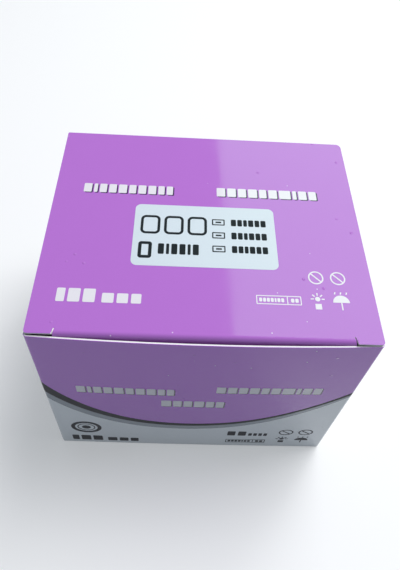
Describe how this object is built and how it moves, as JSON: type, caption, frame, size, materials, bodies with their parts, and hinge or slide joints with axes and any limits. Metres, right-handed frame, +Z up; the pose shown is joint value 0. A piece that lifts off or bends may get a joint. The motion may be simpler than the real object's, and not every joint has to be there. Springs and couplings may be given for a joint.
{
  "type": "needle carton",
  "caption": "Closed tuck-top folding carton with purple print and curved bands, holding strips of sealed injection needles; its lid swings up from the back.",
  "frame": {"origin": "centre of the carton's base", "axes": "+X to the right along the front panel, the front panel faces -Y, +Z up"},
  "size_m": [0.105, 0.0873, 0.0901],
  "materials": {
    "board": "uncoated white board, matt",
    "purple_print": "semi-gloss coated print",
    "dark_print": "semi-gloss coated print",
    "grey_print": "semi-gloss coated print",
    "pale_print": "semi-gloss coated print",
    "label_print": "semi-gloss coated print",
    "white_print": "semi-gloss coated print",
    "shadow_print": "semi-gloss coated print",
    "clear_film": "clear formed film",
    "backing_paper": "white medical paper, matt",
    "hub_yellow": "translucent moulded plastic",
    "needle_steel": "drawn steel tube",
    "cap_plastic": "translucent moulded plastic"
  },
  "bodies": {
    "carton": {"carton": "board", "body_purple": "purple_print", "body_dark_band": "dark_print", "body_grey_band": "grey_print", "body_pale_field": "pale_print", "front_white_marks": "white_print", "front_mark_shadows": "shadow_print", "front_dark_marks": "dark_print", "needle_hubs": "hub_yellow", "needle_tubes": "needle_steel", "needle_caps": "cap_plastic", "blister_film_01": "clear_film", "blister_film_02": "clear_film", "blister_film_03": "clear_film", "blister_film_04": "clear_film", "blister_film_05": "clear_film", "blister_film_06": "clear_film", "blister_film_07": "clear_film", "blister_film_08": "clear_film", "blister_film_09": "clear_film", "blister_film_10": "clear_film", "blister_film_11": "clear_film", "blister_film_12": "clear_film", "blister_film_13": "clear_film", "blister_film_14": "clear_film", "blister_film_15": "clear_film", "blister_film_16": "clear_film", "blister_film_17": "clear_film", "blister_film_18": "clear_film", "blister_film_19": "clear_film", "blister_film_20": "clear_film", "backing_paper_01": "backing_paper", "backing_paper_02": "backing_paper", "backing_paper_03": "backing_paper", "backing_paper_04": "backing_paper", "backing_paper_05": "backing_paper", "backing_paper_06": "backing_paper", "backing_paper_07": "backing_paper", "backing_paper_08": "backing_paper", "backing_paper_09": "backing_paper", "backing_paper_10": "backing_paper", "backing_paper_11": "backing_paper", "backing_paper_12": "backing_paper", "backing_paper_13": "backing_paper", "backing_paper_14": "backing_paper", "backing_paper_15": "backing_paper", "backing_paper_16": "backing_paper", "backing_paper_17": "backing_paper", "backing_paper_18": "backing_paper", "backing_paper_19": "backing_paper", "backing_paper_20": "backing_paper"},
    "lid": {"lid": "board", "lid_purple": "purple_print", "lid_label": "label_print", "lid_label_marks": "dark_print", "lid_white_marks": "white_print", "lid_mark_shadows": "shadow_print"}
  },
  "joints": [
    {"name": "lid_hinge", "type": "hinge", "parent": "carton", "child": "lid", "pos_m": [0, 0.04365, 0.08943], "axis": [-1, 0, 0], "range_deg": [0, 180]}
  ]
}
